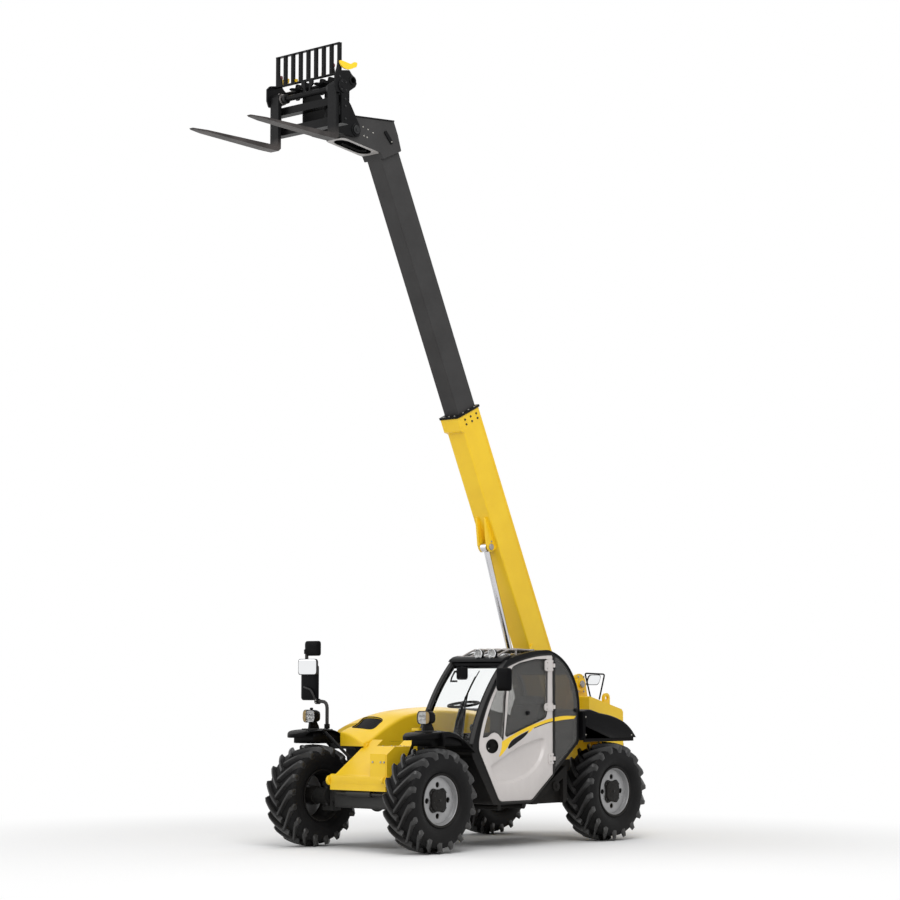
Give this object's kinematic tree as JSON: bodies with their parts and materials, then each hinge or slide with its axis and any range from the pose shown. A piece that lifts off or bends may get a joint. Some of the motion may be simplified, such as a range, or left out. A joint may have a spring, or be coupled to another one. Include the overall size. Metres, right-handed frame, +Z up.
{
  "type": "telehandler",
  "caption": "Compact telescopic handler with raised extending boom, fork carriage, side cab, engine pod and steered wheels at both ends.",
  "frame": {"origin": "middle of the footprint at ground level, under the box round the whole machine", "axes": "+Z up, -Y the way the machine drives forwards, +X towards the side that carries the cab"},
  "size_m": [2.54, 5.871, 8.2497],
  "materials": {
    "yellow_paint": "satin warm yellow paint",
    "dark_grey_paint": "satin dark grey paint",
    "black_paint": "satin black paint",
    "light_grey_paint": "satin light grey paint",
    "silver_paint": "semi-gloss silver wheel paint",
    "black_plastic": "grained black moulded plastic",
    "lamp_plastic": "lamp body and lens",
    "tinted_glass": "tinted glass",
    "tyre_rubber": "lugged tyre rubber",
    "bare_steel": "worn bare steel",
    "seat_fabric": "dark woven seat cover",
    "chrome_rod": "polished chrome",
    "cast_grey": "painted casting"
  },
  "bodies": {
    "chassis": {"main_frame": "black_paint", "front_nose": "yellow_paint", "boom_support": "yellow_paint", "rear_body": "yellow_paint", "front_axle": "black_paint", "rear_axle": "black_paint", "engine_hood": "yellow_paint", "engine_pod": "black_paint", "engine_block": "cast_grey", "side_tank": "black_plastic", "cab_frame": "black_paint", "cab_floor": "black_plastic", "cab_glass": "tinted_glass", "quarter_glass": "tinted_glass", "seat": "seat_fabric", "cab_controls": "black_plastic", "roof_guard": "black_paint", "front_mudguards": "black_plastic", "rear_mudguards": "black_plastic", "headlights": "lamp_plastic", "mirrors": "black_plastic"},
    "door": {"door_panel": "light_grey_paint", "door_glass": "tinted_glass"},
    "boom": {"boom_outer": "yellow_paint"},
    "boom_slide": {"boom_inner": "dark_grey_paint", "boom_head": "dark_grey_paint"},
    "carriage": {"fork_carriage": "black_paint", "load_backrest": "black_paint", "carriage_locks": "yellow_paint"},
    "fork_l": {"fork_left": "bare_steel"},
    "fork_r": {"fork_right": "bare_steel"},
    "cylinder": {"lift_cylinder_barrel": "dark_grey_paint"},
    "rod": {"lift_cylinder_rod": "chrome_rod"},
    "front_left_hub": {"front_left_knuckle": "cast_grey"},
    "front_left_wheel": {"front_left_tyre": "tyre_rubber", "front_left_rim": "silver_paint"},
    "front_right_hub": {"front_right_knuckle": "cast_grey"},
    "front_right_wheel": {"front_right_tyre": "tyre_rubber", "front_right_rim": "silver_paint"},
    "rear_left_hub": {"rear_left_knuckle": "cast_grey"},
    "rear_left_wheel": {"rear_left_tyre": "tyre_rubber", "rear_left_rim": "silver_paint"},
    "rear_right_hub": {"rear_right_knuckle": "cast_grey"},
    "rear_right_wheel": {"rear_right_tyre": "tyre_rubber", "rear_right_rim": "silver_paint"}
  },
  "joints": [
    {"name": "boom_lift", "type": "hinge", "parent": "chassis", "child": "boom", "pos_m": [0, 2.46549, 1.7], "axis": [-1, 0, 0], "range_deg": [-66, 0]},
    {"name": "boom_extension", "type": "slide", "parent": "boom", "child": "boom_slide", "axis": [0, -0.4226, 0.9063], "range_m": [-2.75, 0]},
    {"name": "carriage_tilt", "type": "hinge", "parent": "boom_slide", "child": "carriage", "pos_m": [0, -1.18049, 7.46972], "axis": [1, 0, 0], "range_deg": [-80, 54]},
    {"name": "fork_left_slide", "type": "slide", "parent": "carriage", "child": "fork_l", "axis": [1, 0, 0], "range_m": [-0.3, 0]},
    {"name": "fork_right_slide", "type": "slide", "parent": "carriage", "child": "fork_r", "axis": [1, 0, 0], "range_m": [0, 0.3]},
    {"name": "door_hinge", "type": "hinge", "parent": "chassis", "child": "door", "pos_m": [0.994, 1.03049, 1.46], "axis": [0, 0, 1], "range_deg": [0, 95]},
    {"name": "front_left_steer", "type": "hinge", "parent": "chassis", "child": "front_left_hub", "pos_m": [0.62, -0.76451, 0.535], "axis": [0, 0, 1], "range_deg": [-35, 35]},
    {"name": "front_left_wheel_spin", "type": "hinge", "parent": "front_left_hub", "child": "front_left_wheel", "pos_m": [0.85, -0.76451, 0.535], "axis": [1, 0, 0], "continuous": true},
    {"name": "front_right_steer", "type": "hinge", "parent": "chassis", "child": "front_right_hub", "pos_m": [-0.62, -0.76451, 0.535], "axis": [0, 0, 1], "range_deg": [-35, 35]},
    {"name": "front_right_wheel_spin", "type": "hinge", "parent": "front_right_hub", "child": "front_right_wheel", "pos_m": [-0.85, -0.76451, 0.535], "axis": [1, 0, 0], "continuous": true},
    {"name": "rear_left_steer", "type": "hinge", "parent": "chassis", "child": "rear_left_hub", "pos_m": [0.62, 2.04549, 0.535], "axis": [0, 0, 1], "range_deg": [-35, 35]},
    {"name": "rear_left_wheel_spin", "type": "hinge", "parent": "rear_left_hub", "child": "rear_left_wheel", "pos_m": [0.85, 2.04549, 0.535], "axis": [1, 0, 0], "continuous": true},
    {"name": "rear_right_steer", "type": "hinge", "parent": "chassis", "child": "rear_right_hub", "pos_m": [-0.62, 2.04549, 0.535], "axis": [0, 0, 1], "range_deg": [-35, 35]},
    {"name": "rear_right_wheel_spin", "type": "hinge", "parent": "rear_right_hub", "child": "rear_right_wheel", "pos_m": [-0.85, 2.04549, 0.535], "axis": [1, 0, 0], "continuous": true},
    {"name": "lift_cylinder_swing", "type": "hinge", "parent": "chassis", "child": "cylinder", "pos_m": [0, 1.89549, 0.8], "axis": [-1, 0, 0], "range_deg": [-61.6, 0.1]},
    {"name": "lift_cylinder_stroke", "type": "slide", "parent": "cylinder", "child": "rod", "axis": [0, -0.3289, 0.9443], "range_m": [-1.152, 0.001]}
  ],
  "couplings": [
    {"joint": "front_right_steer", "follows": "front_left_steer", "ratio": 1},
    {"joint": "rear_right_steer", "follows": "rear_left_steer", "ratio": 1},
    {"joint": "lift_cylinder_swing", "follows": "boom_lift", "ratio": 0.93132},
    {"joint": "lift_cylinder_stroke", "follows": "boom_lift", "m_per_rad": 0.99905}
  ]
}
